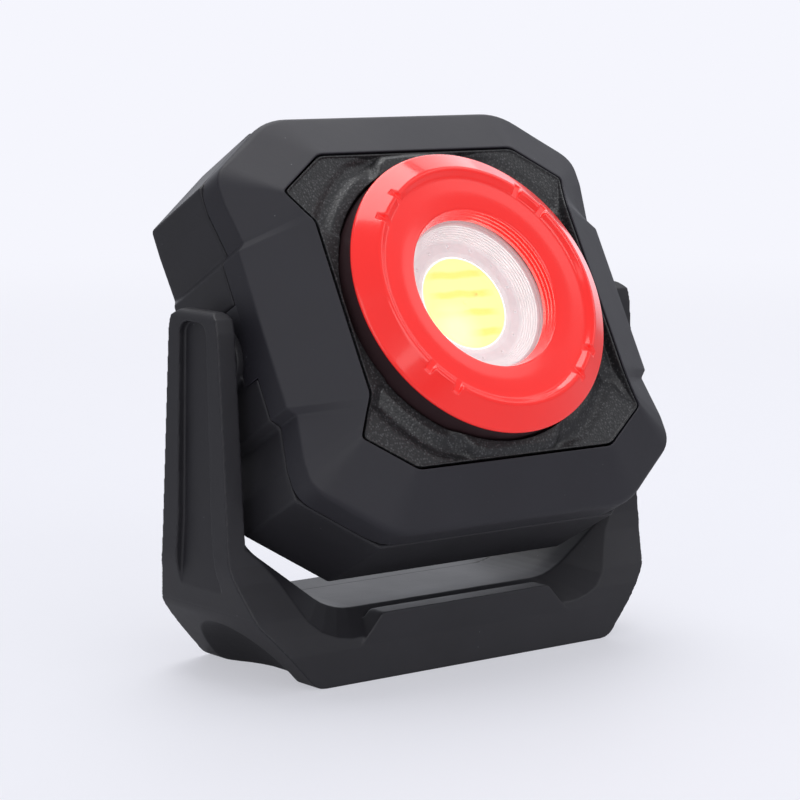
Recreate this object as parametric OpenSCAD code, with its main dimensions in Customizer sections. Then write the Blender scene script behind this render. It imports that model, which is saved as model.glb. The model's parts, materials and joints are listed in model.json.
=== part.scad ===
// Rechargeable work light: a square lamp head with cut corners, tilting between the arms of a stand.
// Millimetres. +Z is up and the lamp looks towards -Y. The origin is the bottom centre of the stand.
// Head parts are drawn in a head frame: x to the right, y up the head, z forward along the beam.

/* [Stand] */
// Overall width across the two arms
stand_w = 121; // [120:0.5:124]
// Height of the arms' tops above the ground
stand_h = 83.4; // [82:0.2:90]
// Width of the foot where it meets the ground
foot_w = 86; // [84:1:90]
// Depth of the foot where it meets the ground
foot_depth = 44.4; // [43:0.2:48]
// Height of the floor of the U opening
floor_z = 15; // [14:0.2:16]
// Thickness of each arm
arm_t = 4.8; // [4.6:0.1:5]

/* [Head] */
// Height of the tilt axis above the ground
pivot_z = 71.8; // [71:0.2:74]
// Upward tilt of the beam at rest, in degrees
head_tilt = 28.8; // [0:0.1:60]
// Height of the head's outline
head_h = 100.8; // [98:0.1:101]
// Width of the head's outline, without its side pads
head_w = 104.4; // [104:0.1:104.6]
// Forward place of the seam between the front and rear shells
seam_f = 9.9; // [9.5:0.1:10.2]
// Forward place of the bezel's outer front edge
edge_f = 17.1; // [16.5:0.1:17.5]
// Wall thickness of the shells
wall = 2.8; // [2.5:0.1:3]

/* [Lamp] */
// Outer radius of the red ring
ring_r = 34.2; // [33.9:0.1:34.3]
// Forward place of the red ring's raised lip
ring_f = 33; // [32.8:0.1:33.4]
// Radius of the red ring's flat face, where the funnel starts
funnel_r = 19.4; // [19.3:0.1:19.8]
// Radius of the window in the red ring
window_r = 18.1; // [17.9:0.1:18.3]
// Radius of the yellow light-emitting disc
led_r = 11; // [10:0.1:11.2]

/* [Hidden] */
$fn = 64;

black = "#3c3a42";
grain_black = "#2b2a2f";
red = "#f4372f";
white = "#f2f0f0";
yellow = "#ffe95a";
steel = "#b9bcc0";
brass = "#c9a24a";
board_green = "#23603a";
copper_red = "#b3402e";

// Play left between fixed parts, and the running play of turning parts
gap = 0.05;
// Overshoot of cutting solids
over = 1;
// Steps in each rounded corner of an outline
arc_steps = 5;

// Stand
arm_x = stand_w / 2;
arm_in_x = arm_x - arm_t;
ledge_z = 16.5;
trough_depth = 1.8;
trough_w = 12;
scoop_in = 5.5;
lip_x = 24.5;
lip_foot_x = 29.5;
lip_t = 5.2;
floor_x = 32.5;
floor_round = 18;
wall_foot_z = 32;
web_y = 12.6;
line_y = 9.7;
band_roll = 30;
side_band_roll = 44;
cavity_x = 35.5;
cavity_y = 16.5;
cavity_top = 11;
cover_t = 2.4;
magnet_x = 15;
magnet_r = 9;
magnet_t = 4.5;
base_screw_x = 31;
base_screw_y = 12;

// Head outline, one quarter of it from the side pad up to the top edge, with corner radii
head_x = head_w / 2;
head_y = head_h / 2;
cut_x = head_x - 18.2;
cut_y = head_y - 13.2;
pad_x = head_x + 0.2;
notch_x = head_x - 2.2;
back_f = -12.1;
rear_f = -21.6;
rear_in = 9.5;
floor_f = rear_f + 3;
border_corner_f = edge_f + 6.8;
border_waist_f = edge_f + 9.6;

// Pivot
hub_r = 7.8;
hub_in_x = 49.2;
hub_x = pad_x + 1.8;
tab_w = 17.2;
tab_back_f = 5.2;
shoulder_r = 4;
bush_r = 5.2;
bolt_head_r = 6.6;
cavity_half_x = notch_x - wall;

// Lamp stack, forward places of its faces
sink_front_f = 20.3;
board_front_f = 22.4;
seat_f = 28.85;
lens_r = 20.2;
lens_t = 1.6;
lens_front_f = seat_f - 0.85;
reflector_r = 17.6;
seal_groove_r = 18.4;
collar_r = ring_r - 0.3;
collar_in_r = collar_r - 2.7;
lip_out_r = ring_r - 5;
lip_in_r = ring_r - 5.8;
face_r = ring_r - 7;
face_f = ring_f - 1.1;
ring_rim_f = 29.4;
sink_r = 30.5;

// Rear fittings
pcb_back_f = -13.4;
pcb_front_f = pcb_back_f + 1.6;
pcb_x = 28;
pcb_low_y = 8;
pcb_high_y = 40;
button_y = 26;
button_r = 6;
button_proud = 0.6;
usb_x = 20;
usb_y = 24;
flap_w = 16.6;
flap_low_y = usb_y - 4.8;
flap_pin_y = usb_y + 5.6;
flap_pin_f = rear_f + 1;
flap_pin_r = 0.5;
recess_depth = 2.2;
case_x = 42;
case_y = 33;
cell_r = 9.1;
cell_len = 65;
cell_f = -8.6;
cell_low_y = -28;
cell_high_y = -8;
wire_x = cell_len / 2 + 1.9;

function unit(v) = v / norm(v);

function reversed(points) = [for (i = [len(points) - 1 : -1 : 0]) points[i]];
function flip_x(points) = [for (p = reversed(points)) [-p[0], p[1], p[2]]];
function flip_y(points) = [for (p = reversed(points)) [p[0], -p[1], p[2]]];
function turned(points) = [for (p = points) [-p[0], -p[1], p[2]]];
// A closed outline from its first quarter
function four_fold(q) = concat(q, flip_x(q), turned(q), flip_y(q));

// The points of one rounded corner b between its neighbours a and c
function corner(a, b, c, r) =
    r == 0 ? [b] :
    let (u = unit(a - b), v = unit(c - b), half = acos(u * v) / 2)
    let (centre = b + unit(u + v) * r / sin(half))
    let (from = b + u * r / tan(half) - centre, to = b + v * r / tan(half) - centre)
    let (start = atan2(from[1], from[0]), end = atan2(to[1], to[0]))
    let (sweep = (end - start + 540) % 360 - 180)
    [for (i = [0 : arc_steps]) let (t = start + sweep * i / arc_steps) centre + r * [cos(t), sin(t)]];

// A polygon from corners written as [x, y, radius]
function rounded(points) =
    let (n = len(points), flat = [for (p = points) [p[0], p[1]]])
    [for (i = [0 : n - 1]) each corner(flat[(i + n - 1) % n], flat[i], flat[(i + 1) % n], points[i][2])];

// Half-depth of the stand at height z: a slight taper up the arms and a flare into the foot
function smooth(t) = let (s = min(1, max(0, t))) s * s * (3 - 2 * s);
function half_depth(z) = 9.2 + 0.072 * (stand_h - z) + (foot_depth / 2 - 15.2) * smooth((30.5 - z) / 23);

// Quarter outline of the head, shrunk inwards by d, with its notch at the side pad
cut_normal = unit([head_y - cut_y, head_x - cut_x]);
cut_reach = cut_normal * [cut_x, head_y];
function cut_at_top(d) = (cut_reach - d - cut_normal[1] * (head_y - d)) / cut_normal[0];
function cut_at_side(d) = (cut_reach - d - cut_normal[0] * (head_x - d)) / cut_normal[1];
function head_quarter(d) = [
    [pad_x - d, 18.5, 0],
    [notch_x + 0.4 - d, 20.4, 0],
    [head_x - d, 30.5, 0],
    [head_x - d, cut_at_side(d), 0],
    [cut_at_top(d), head_y - d, 0]
];
// Border between the bezel and the trim panel, matched point for point to the head's outline
function border_quarter(d) = [
    [36.9 - d, 20.6, border_waist_f],
    [38.1 - d, 23.6, border_waist_f - 1.1],
    [39.5 - d, 27, border_waist_f - 2.2],
    [40.5 - d, 29.3, border_corner_f],
    [28, 38 - d, border_corner_f]
];
function at_f(ring, f) = [for (p = ring) [p[0], p[1], f]];
function lowered(ring, d) = [for (p = ring) [p[0], p[1], p[2] - d]];
function flat_points(ring) = [for (p = ring) [p[0], p[1]]];
// Plain octagon of a given half-width, its other edges shrunk inwards by d
function octagon_quarter(half_x, d) = [
    [half_x, (cut_reach - d - cut_normal[0] * half_x) / cut_normal[1], 0],
    [cut_at_top(d), head_y - d, 0]
];

// A closed solid between a list of rings with the same number of points, joined last to first
module ring_loft(rings) {
    m = len(rings);
    n = len(rings[0]);
    polyhedron(
        points = [for (r = rings) each r],
        faces = [for (j = [0 : m - 1], i = [0 : n - 1])
            let (a = j * n, b = ((j + 1) % m) * n, k = (i + 1) % n)
            each [[a + i, b + i, b + k], [a + i, b + k, a + k]]]
    );
}

// A closed solid between two flat rings with the same number of points, the second one further forward
module cap_loft(low, high) {
    n = len(low);
    polyhedron(
        points = concat(low, high),
        faces = concat(
            [[for (i = [0 : n - 1]) i], [for (i = [n - 1 : -1 : 0]) n + i]],
            [for (i = [0 : n - 1]) let (k = (i + 1) % n) each [[i, n + i, n + k], [i, n + k, k]]]
        )
    );
}

module both_sides() {
    children();
    mirror([1, 0, 0]) children();
}

module four_corners(x, y) {
    for (sx = [-1, 1], sy = [-1, 1])
        translate([sx * x, sy * y, 0]) children();
}

// Places head parts: x right, y up the head, z forward along the beam
module on_head() {
    translate([0, 0, pivot_z]) rotate([90 - head_tilt, 0, 0]) children();
}

// A cylinder along +X from x0 to x1, centred on the tilt axis
module pivot_rod(r, x0, x1) {
    translate([x0, 0, 0]) rotate([0, 90, 0]) cylinder(r = r, h = x1 - x0);
}

module pivot_tube(r_out, r_in, x0, x1) {
    difference() {
        pivot_rod(r_out, x0, x1);
        pivot_rod(r_in, x0 - over, x1 + over);
    }
}

module disc(r, f0, f1) {
    translate([0, 0, f0]) cylinder(r = r, h = f1 - f0);
}

module slab(x0, x1, y0, y1, f0, f1) {
    translate([x0, y0, f0]) cube([x1 - x0, y1 - y0, f1 - f0]);
}

// A screw pointing towards +z, its head ending at z = 0
module screw(head_r, head_h, shank_r, length) {
    translate([0, 0, -head_h]) cylinder(r = head_r, h = head_h);
    cylinder(r = shank_r, h = length);
}

// ---- Stand ----

module stand_front_outline() {
    half = [
        [foot_w / 2, 0, 5], [arm_x - 3.6, ledge_z - 1, 8], [arm_x, 27, 16],
        [arm_x, stand_h, 2.4], [arm_in_x, stand_h, 1.6], [arm_in_x, wall_foot_z, 7],
        [floor_x, floor_z, floor_round]
    ];
    polygon(rounded(concat(half, flip_x(half))));
}

module stand_side_outline() {
    heights = [for (z = [0 : 4 : 28]) z, 32, 45, 62, stand_h - 4.5];
    front = [for (z = heights) [half_depth(z), z, 0]];
    top = [[half_depth(stand_h) - 0.4, stand_h - 1.6, 0], [half_depth(stand_h) - 3, stand_h, 0]];
    half = concat(front, top);
    polygon(flat_points(concat(half, flip_x(half))));
}

// Room above a plane through the x axis, rolled by an angle towards the front
module room_above(roll) {
    rotate([roll, 0, 0]) translate([-stand_w, -stand_w, 0]) cube(2 * stand_w);
}

// Cutter for the slanting bands, which run from the web's front edge out to the front face.
// Its planes touch the rounded corner of the opening one after another and roll over as they rise.
module band_cutter() {
    rise = atan2(wall_foot_z - floor_z, arm_in_x - floor_x);
    turns = 4;
    arc_x = floor_x - floor_round * tan(rise / 2);
    arc_z = floor_z + floor_round;
    intersection() {
        translate([-arm_in_x, -foot_depth, 0]) cube([2 * arm_in_x, foot_depth, stand_h + over]);
        intersection_for(i = [0 : turns]) {
            slope = rise * i / turns;
            both_ways()
                translate([arc_x + floor_round * sin(slope), -web_y, arc_z - floor_round * cos(slope)])
                    rotate([0, -slope, 0])
                        room_above(band_roll + (side_band_roll - band_roll) * i / turns);
        }
    }
}

module both_ways() {
    intersection() {
        children();
        mirror([1, 0, 0]) children();
    }
}

// The U opening's path, a little enlarged by d
function opening_path(d) = rounded([
    [arm_in_x + d, stand_h + 5, 0], [arm_in_x + d, wall_foot_z, 7], [floor_x, floor_z - d, floor_round],
    [-floor_x, floor_z - d, floor_round], [-arm_in_x - d, wall_foot_z, 7], [-arm_in_x - d, stand_h + 5, 0]
]);

// Thin parting line round the opening
module web_line() {
    translate([0, line_y, 0]) rotate([90, 0, 0]) linear_extrude(0.6) polygon(opening_path(0.7));
}

// Raised lip in the middle of the foot's front edge
module foot_lip() {
    lip_y = foot_depth / 2 - 0.6;
    outline = [[-lip_foot_x - 3, 6, 0], [lip_foot_x + 3, 6, 0], [lip_foot_x, 9.5, 1], [lip_x, floor_z, 2],
        [-lip_x, floor_z, 2], [-lip_foot_x, 9.5, 1]];
    translate([0, -lip_y + lip_t, 0])
        rotate([90, 0, 0])
            linear_extrude(lip_t) polygon(rounded(outline));
}

module arm_trough() {
    low_z = 17.5;
    top_z = stand_h - 2.6;
    translate([arm_x - trough_depth, 0, 0])
        rotate([90, 0, 90])
            linear_extrude(trough_depth + over)
                polygon(rounded([
                    [-trough_w / 2 - 2.5, low_z, 3], [trough_w / 2 + 2.5, low_z, 3],
                    [trough_w / 2 + 0.6, 36, 0], [trough_w / 2 - 0.8, top_z, 3],
                    [-trough_w / 2 + 0.8, top_z, 3], [-trough_w / 2 - 0.6, 36, 0]
                ]));
}

// Domed hollow under each side of the foot
module side_scoop() {
    inner_x = foot_w / 2 - scoop_in;
    centre_x = inner_x + 23.2;
    centre_z = -12.7;
    translate([centre_x, 0, centre_z]) sphere(r = norm([centre_x - inner_x, centre_z]), $fn = 96);
}

module stand_frame() {
    color(black)
    difference() {
        union() {
            difference() {
                intersection() {
                    translate([0, foot_depth, 0])
                        rotate([90, 0, 0])
                            linear_extrude(2 * foot_depth) stand_front_outline();
                    translate([-stand_w, 0, 0])
                        rotate([90, 0, 90])
                            linear_extrude(2 * stand_w) stand_side_outline();
                }
                band_cutter();
                web_line();
            }
            foot_lip();
        }
        both_sides() {
            arm_trough();
            side_scoop();
            translate([arm_x - 4.2, -foot_depth / 2, ledge_z - 0.2]) cube([8, foot_depth, 0.4]);
            translate([0, 0, pivot_z]) pivot_rod(4.4, arm_in_x - over, 57.9);
        }
        difference() {
            translate([-cavity_x, -cavity_y, -over]) cube([2 * cavity_x, 2 * cavity_y, cavity_top + over]);
            four_corners(base_screw_x, base_screw_y) translate([0, 0, cover_t]) cylinder(r = 3.4, h = cavity_top);
        }
        four_corners(base_screw_x, base_screw_y) cylinder(r = 1.35, h = 9.5);
    }
}

module base_cover() {
    color(grain_black)
    difference() {
        translate([-cavity_x + 0.15, -cavity_y + 0.15, 0])
            cube([2 * cavity_x - 0.3, 2 * cavity_y - 0.3, cover_t - gap]);
        both_sides() translate([magnet_x, 0, -over]) cylinder(r = magnet_r + 0.15, h = cover_t + 2 * over);
        four_corners(base_screw_x, base_screw_y) {
            translate([0, 0, -over]) cylinder(r = 2.6, h = over + 1.4);
            cylinder(r = 1.6, h = cover_t + over);
        }
        for (side = [-1, 1])
            translate([-25, side * 13.2 - 2.3, -over]) cube([50, 4.6, over + 0.9]);
    }
}

module base_screws() {
    color(steel)
    four_corners(base_screw_x, base_screw_y) translate([0, 0, 1.35]) screw(2.4, 1.15, 1.3, 7.5);
}

module base_magnets() {
    color(steel)
    both_sides() translate([magnet_x, 0, 0.2]) cylinder(r = magnet_r, h = magnet_t);
}

module magnet_cups() {
    color("#8b8f94")
    both_sides() translate([magnet_x, 0, cover_t])
        difference() {
            cylinder(r = magnet_r + 1.4, h = magnet_t);
            translate([0, 0, -over]) cylinder(r = magnet_r + gap, h = magnet_t - 2.2 + gap + over);
        }
}

module foot_pads() {
    color(grain_black)
    for (side = [-1, 1])
        translate([-24.9, side * 13.2 - 2.2, 0]) cube([49.8, 4.4, 0.85]);
}

module arm_inserts() {
    color(brass)
    both_sides() translate([0, 0, pivot_z]) pivot_tube(4.35, 2.95, arm_in_x, 57.85);
}

module pivot_bolts() {
    color(steel)
    both_sides() translate([0, 0, pivot_z])
        difference() {
            union() {
                pivot_rod(bolt_head_r, 43.4, 45.6);
                pivot_rod(shoulder_r, 45.6, arm_in_x);
                pivot_rod(2.9, arm_in_x, 57.7);
            }
            translate([43.4 - over, 0, 0]) rotate([0, 90, 0]) cylinder(r = 2.3, h = over + 1.5, $fn = 6);
        }
}

module wave_washers() {
    color(steel)
    both_sides() translate([0, 0, pivot_z]) pivot_tube(bolt_head_r - 0.2, shoulder_r + 0.1, 45.65, 46.45);
}

module friction_discs() {
    color(grain_black)
    both_sides() translate([0, 0, pivot_z]) pivot_tube(hub_r - 0.2, shoulder_r + 0.1, hub_x + gap, arm_in_x - gap);
}

// ---- Head shells ----

module front_bezel() {
    outline = four_fold(head_quarter(0));
    inside = four_fold(head_quarter(wall));
    border = four_fold(border_quarter(0));
    color(black)
    on_head()
    difference() {
        union() {
            ring_loft([
                at_f(outline, seam_f), at_f(outline, edge_f), border,
                lowered(border, 3), at_f(inside, edge_f - 2.6), at_f(inside, seam_f)
            ]);
            four_corners(case_x, case_y) disc(3.8, seam_f, border_corner_f - 4);
            side_tabs(0, 1);
        }
        both_sides() pivot_rod(hub_r + 0.2, hub_in_x - 0.1, head_w);
        four_corners(case_x, case_y) disc(1.3, seam_f - over, border_corner_f - 6);
        gasket_groove(seam_f - over, seam_f + 0.55);
    }
}

// Tabs of the bezel which reach back beside the pivots, grown by d, and their height above the seam
module side_tabs(d, rise) {
    both_sides()
        slab(pad_x - wall - d, pad_x + d, -tab_w / 2 - d, tab_w / 2 + d, tab_back_f - d, seam_f + rise);
}

module octagon(half_x, d) {
    polygon(flat_points(four_fold(octagon_quarter(half_x, d))));
}

module gasket_band(grow, f0, f1) {
    translate([0, 0, f0])
        linear_extrude(f1 - f0)
            difference() {
                octagon(notch_x - 0.8 + grow, 1 - grow);
                octagon(notch_x - 1.8 - grow, 2 + grow);
            }
}

module gasket_groove(f0, f1) {
    gasket_band(0.05, f0, f1);
}

module housing_gasket() {
    color(grain_black)
    on_head() gasket_band(0, seam_f - 0.5, seam_f + 0.5);
}

module front_panel() {
    rim = four_fold(border_quarter(0.35));
    inner = four_fold(border_quarter(1.3));
    foot_f = border_corner_f - 3.4;
    color(grain_black)
    on_head()
    difference() {
        union() {
            ring_loft([at_f(rim, foot_f), lowered(rim, 0.2), lowered(inner, 0.2), at_f(inner, foot_f)]);
            translate([0, 0, foot_f])
                linear_extrude(2.9) polygon(flat_points(four_fold(border_quarter(0.8))));
            intersection() {
                translate([0, 0, foot_f + 1])
                    linear_extrude(8) polygon(flat_points(four_fold(border_quarter(0.8))));
                disc_cone(40, 34.8, foot_f + 1, border_corner_f + 0.8);
            }
            bridge();
            mirror([0, 1, 0]) bridge();
        }
        disc(ring_r, 0, 60);
    }
}

// Trapezoid block between the collar and the middle of the panel's top edge
module bridge() {
    low_f = border_corner_f - 2.4;
    high_f = border_corner_f + 1.2;
    cap_loft(
        [[-14, 32.5, low_f], [14, 32.5, low_f], [14, 37.3, low_f], [-14, 37.3, low_f]],
        [[-12.6, 32.5, high_f], [12.6, 32.5, high_f], [10.4, 35.7, high_f], [-10.4, 35.7, high_f]]
    );
}

module disc_cone(r0, r1, f0, f1) {
    rotate_extrude() polygon([[0, f0], [r0, f0], [r1, f1], [0, f1]]);
}

module lamp_collar() {
    color(grain_black)
    on_head()
    difference() {
        union() {
            disc(collar_r, 14.5, seat_f - gap);
            disc(38.4, 16, 18.4);
        }
        disc(collar_in_r, 14.5 - over, 26.4);
        disc(lens_r + 0.15, 14, 40);
        lamp_screw_circle(ring_r - 5.4) disc(1.35, 20, 40);
    }
}

module lamp_screw_circle(r) {
    for (a = [0 : 90 : 270])
        rotate(a) translate([r, 0, 0]) children();
}

module lens_ring() {
    slot_w = 2;
    slot_spread = 15;
    color(red)
    on_head()
    difference() {
        rotate_extrude()
            polygon([
                [ring_r, seat_f], [ring_r, ring_rim_f], [lip_out_r, ring_f],
                [lip_in_r, ring_f], [face_r, face_f], [funnel_r, face_f],
                [window_r, lens_front_f + 0.1], [window_r, lens_front_f + gap],
                [lens_r, lens_front_f + gap], [lens_r, seat_f]
            ]);
        for (a = [45 : 90 : 315], side = [-0.5, 0.5])
            rotate(a + side * slot_spread)
                slab(face_r - 0.2, lip_out_r + 1.2, -slot_w / 2, slot_w / 2, face_f, ring_f + over);
        lamp_screw_circle(ring_r - 5.4) disc(1.25, seat_f - over, 31);
    }
}

module ring_screws() {
    color(steel)
    on_head() lamp_screw_circle(ring_r - 5.4) translate([0, 0, 26.35]) screw(2.3, 1.6, 1.2, 4.4);
}

module clear_lens() {
    color("#dfeaf2", 0.35)
    on_head() disc(lens_r, lens_front_f - lens_t, lens_front_f);
}

module lens_seal() {
    seal_r = 0.58;
    color(grain_black)
    on_head()
    translate([0, 0, lens_front_f - lens_t - seal_r - 0.02])
        rotate_extrude() translate([lens_r - 0.9, 0]) circle(r = seal_r, $fn = 24);
}

module reflector() {
    lens_back_f = lens_front_f - lens_t;
    color(white)
    on_head()
    difference() {
        rotate_extrude()
            polygon([
                [led_r + 0.4, board_front_f + gap], [lens_r, board_front_f + gap], [lens_r, lens_back_f - 1.3],
                [seal_groove_r, lens_back_f - 1.3], [seal_groove_r, lens_back_f - 0.02],
                [reflector_r, lens_back_f - 0.02],
                [15.1, board_front_f + 0.9], [led_r + 0.4, board_front_f + 0.9]
            ]);
        for (i = [0 : 13])
            rotate(i * 360 / 14 + 12) translate([13.8, 0, 0]) disc(0.3, board_front_f + 0.4, board_front_f + 2);
        led_screw_circle() disc(1.5, board_front_f - over, board_front_f + 1.4);
    }
}

module led_screw_circle() {
    for (a = [30, 150, 270])
        rotate(a) translate([17.4, 0, 0]) children();
}

module led_disc() {
    color(yellow)
    on_head() disc(led_r, board_front_f, board_front_f + 0.5);
}

module led_board() {
    color(white)
    on_head()
    difference() {
        disc(lens_r, board_front_f - 1.6, board_front_f);
        led_screw_circle() disc(1.15, 20, 30);
    }
}

module led_screws() {
    color(steel)
    on_head() led_screw_circle() translate([0, 0, board_front_f + 0.02]) mirror([0, 0, 1])
        screw(1.45, 1.3, 1, 5);
}

module thermal_pad() {
    color("#9aa3ad")
    on_head() disc(15.8, sink_front_f, board_front_f - 1.6);
}

module heat_sink() {
    color("#a8abb0")
    on_head()
    difference() {
        union() {
            disc(sink_r, 15.5, sink_front_f);
            intersection() {
                disc(sink_r - 2, 3, 16);
                for (i = [-3 : 3])
                    slab(i * 7.6 - 0.9, i * 7.6 + 0.9, -28, 28, 3, 16);
            }
        }
        led_screw_circle() disc(1.05, 17, 30);
        both_sides() translate([4, 18, 0]) disc(1.2, 0, 30);
    }
}

module rear_housing() {
    outline = four_fold(head_quarter(0));
    color(black)
    on_head()
    difference() {
        union() {
            difference() {
                intersection() {
                    translate([0, 0, rear_f]) linear_extrude(seam_f - rear_f) polygon(flat_points(outline));
                    hull() {
                        translate([0, 0, back_f]) linear_extrude(40) octagon(pad_x, 0);
                        translate([0, 0, rear_f]) linear_extrude(1) octagon(pad_x - rear_in, rear_in);
                    }
                }
                translate([0, 0, back_f]) linear_extrude(40) octagon(cavity_half_x, wall);
                translate([0, 0, floor_f]) linear_extrude(40) octagon(cavity_half_x - 6, wall + 6);
                side_tabs(0.1, over);
            }
            both_sides() pivot_rod(hub_r, hub_in_x, hub_x);
            four_corners(case_x, case_y) disc(4, back_f - 4, seam_f);
            board_posts();
        }
        both_sides() pivot_rod(bush_r + gap, cavity_half_x - over, hub_x + over);
        four_corners(case_x, case_y) {
            disc(1.6, rear_f - over, seam_f + over);
            disc(3.2, rear_f - over, back_f + 0.5);
        }
        gasket_groove(seam_f - 0.55, seam_f + over);
        translate([0, button_y, 0]) disc(button_r + 0.1, rear_f - over, floor_f + over);
        slab(-8.2, 8.2, 10.4, 13.6, rear_f - over, floor_f + over);
        slab(usb_x - 8.5, usb_x + 8.5, flap_low_y - 0.2, flap_pin_y + 1.5, rear_f - over, rear_f + recess_depth);
        slab(usb_x - 4.8, usb_x + 4.8, usb_y - 1.95, usb_y + 1.95, rear_f - over, floor_f + over);
        translate([usb_x - 10, flap_pin_y, flap_pin_f]) rotate([0, 90, 0]) cylinder(r = flap_pin_r + 0.02, h = 20);
        board_post_places() disc(1, floor_f, pcb_back_f + over);
    }
}

module board_post_places() {
    for (x = [-pcb_x + 3, pcb_x - 3], y = [pcb_low_y + 3, pcb_high_y - 3])
        translate([x, y, 0]) children();
}

module board_posts() {
    board_post_places() disc(2.4, floor_f - 0.5, pcb_back_f - gap);
}

module case_screws() {
    color(steel)
    on_head() four_corners(case_x, case_y) translate([0, 0, back_f + 0.45]) screw(2.9, 2.2, 1.25, 28);
}

module pivot_bushes() {
    color(brass)
    on_head() both_sides()
        difference() {
            union() {
                pivot_rod(bush_r, cavity_half_x - 0.6, hub_x);
                pivot_rod(bolt_head_r, cavity_half_x - 0.65, cavity_half_x - gap);
            }
            pivot_rod(shoulder_r + gap, 40, 60);
        }
}

// ---- Power pack ----

module cells_at(r, x0, x1) {
    for (y = [cell_low_y, cell_high_y])
        translate([0, y, cell_f]) pivot_rod(r, x0, x1);
}

module battery_cells() {
    color("#3f7fb5")
    on_head() {
        cells_at(cell_r, -cell_len / 2, cell_len / 2);
        cells_at(2.8, cell_len / 2, cell_len / 2 + 1.2);
    }
}

module battery_holder() {
    color("#55565a")
    on_head()
    difference() {
        slab(-35.6, 35.6, cell_low_y - 10.2, cell_high_y + 9.4, floor_f + gap, cell_f + 2);
        cells_at(cell_r + gap, -cell_len / 2 - 0.4, cell_len / 2 + 0.2);
        cells_at(3, cell_len / 2, cell_len / 2 + 1.4);
        both_sides() slab(wire_x - 0.8, wire_x + 0.8, cell_high_y - 1, cell_high_y + 12, cell_f - 1, cell_f + 4);
    }
}

module driver_board() {
    color(board_green)
    on_head()
    difference() {
        slab(-pcb_x, pcb_x, pcb_low_y, pcb_high_y, pcb_back_f, pcb_front_f);
        board_post_places() disc(1.1, pcb_back_f - over, pcb_front_f + over);
    }
}

module board_parts() {
    color("#2f3136")
    on_head() {
        translate([-16, 29, 0]) disc(4.5, pcb_front_f, pcb_front_f + 4.2);
        translate([15, 32, 0]) disc(3.2, pcb_front_f, pcb_front_f + 6);
        slab(-6, 1, 20, 27, pcb_front_f, pcb_front_f + 1.2);
        slab(5, 10, 14, 18, pcb_front_f, pcb_front_f + 1);
        slab(-20, -14, 13, 17, pcb_front_f, pcb_front_f + 1.8);
        for (x = [-6, -2, 2, 6])
            slab(x - 0.8, x + 0.8, 11.4, 12.6, pcb_back_f - 0.8, pcb_back_f);
    }
}

module board_screws() {
    color(steel)
    on_head() board_post_places() translate([0, 0, pcb_front_f + 0.02]) mirror([0, 0, 1])
        screw(1.9, 1.3, 0.95, 5.5);
}

module tact_switch() {
    color("#d8d8da")
    on_head() {
        slab(-3, 3, button_y - 3, button_y + 3, pcb_back_f - 2.6, pcb_back_f);
        translate([0, button_y, 0]) disc(1.7, pcb_back_f - 3.4, pcb_back_f - 2.6);
    }
}

module usb_socket() {
    color(steel)
    on_head()
    difference() {
        slab(usb_x - 4.5, usb_x + 4.5, usb_y - 1.65, usb_y + 1.65, rear_f + recess_depth + 0.1, pcb_back_f);
        difference() {
            slab(usb_x - 4.15, usb_x + 4.15, usb_y - 1.3, usb_y + 1.3, rear_f, pcb_back_f - 1);
            slab(usb_x - 3.3, usb_x + 3.3, usb_y - 0.35, usb_y + 0.35, rear_f + 3, pcb_back_f);
        }
    }
}

module gauge_window() {
    color("#e8eef2", 0.6)
    on_head() {
        slab(-8.1, 8.1, 10.5, 13.5, rear_f + 0.1, floor_f);
        slab(-9, 9, 9.6, 14.4, floor_f + 0.02, floor_f + 1);
    }
}

module led_wires() {
    color(copper_red)
    on_head() both_sides() translate([4, 18, 0]) disc(0.7, pcb_front_f, board_front_f - 1.6);
}

// A quarter turn of wire in the xy plane, from +x towards +y
module wire_bend(bend_r, r) {
    rotate_extrude(angle = 90) translate([bend_r, 0]) circle(r = r, $fn = 24);
}

module battery_wires() {
    r = 0.6;
    bend_r = 3;
    top_y = 18;
    down_x = pcb_x - 3;
    color(copper_red)
    on_head() both_sides() {
        translate([wire_x, cell_high_y, cell_f]) rotate([-90, 0, 0]) cylinder(r = r, h = top_y - cell_high_y);
        translate([wire_x - bend_r, top_y, cell_f]) wire_bend(bend_r, r);
        translate([down_x, top_y + bend_r, cell_f]) rotate([0, 90, 0])
            cylinder(r = r, h = wire_x - bend_r - down_x);
        translate([down_x, top_y + bend_r, cell_f - bend_r]) rotate([90, 0, 180]) wire_bend(bend_r, r);
        translate([down_x - bend_r, top_y + bend_r, pcb_front_f])
            cylinder(r = r, h = cell_f - bend_r - pcb_front_f);
    }
}

// ---- Moving parts of the rear ----

module power_button() {
    color(red)
    on_head() translate([0, button_y, 0]) {
        difference() {
            disc(button_r, rear_f - button_proud, floor_f + 0.1);
            translate([0, 0, rear_f - button_proud - 9.4]) sphere(r = 10, $fn = 96);
        }
        disc(button_r + 1.2, floor_f + 0.1, floor_f + 0.9);
    }
}

module port_cover_pin() {
    color(steel)
    on_head() translate([usb_x - 9.9, flap_pin_y, flap_pin_f])
        rotate([0, 90, 0]) cylinder(r = flap_pin_r, h = 19.8);
}

module port_cover() {
    thick = recess_depth - 0.35;
    color(grain_black)
    on_head()
    difference() {
        union() {
            slab(usb_x - flap_w / 2, usb_x + flap_w / 2, flap_low_y, flap_pin_y, rear_f, rear_f + thick);
            translate([usb_x - flap_w / 2, flap_pin_y, flap_pin_f]) rotate([0, 90, 0]) cylinder(r = 1, h = flap_w);
        }
        translate([usb_x - 12, flap_pin_y, flap_pin_f])
            rotate([0, 90, 0]) cylinder(r = flap_pin_r + gap, h = 24);
        translate([usb_x, flap_low_y - 0.6, rear_f - 0.4]) rotate([0, 90, 0])
            translate([0, 0, -4]) cylinder(r = 1.4, h = 8);
    }
}

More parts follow.
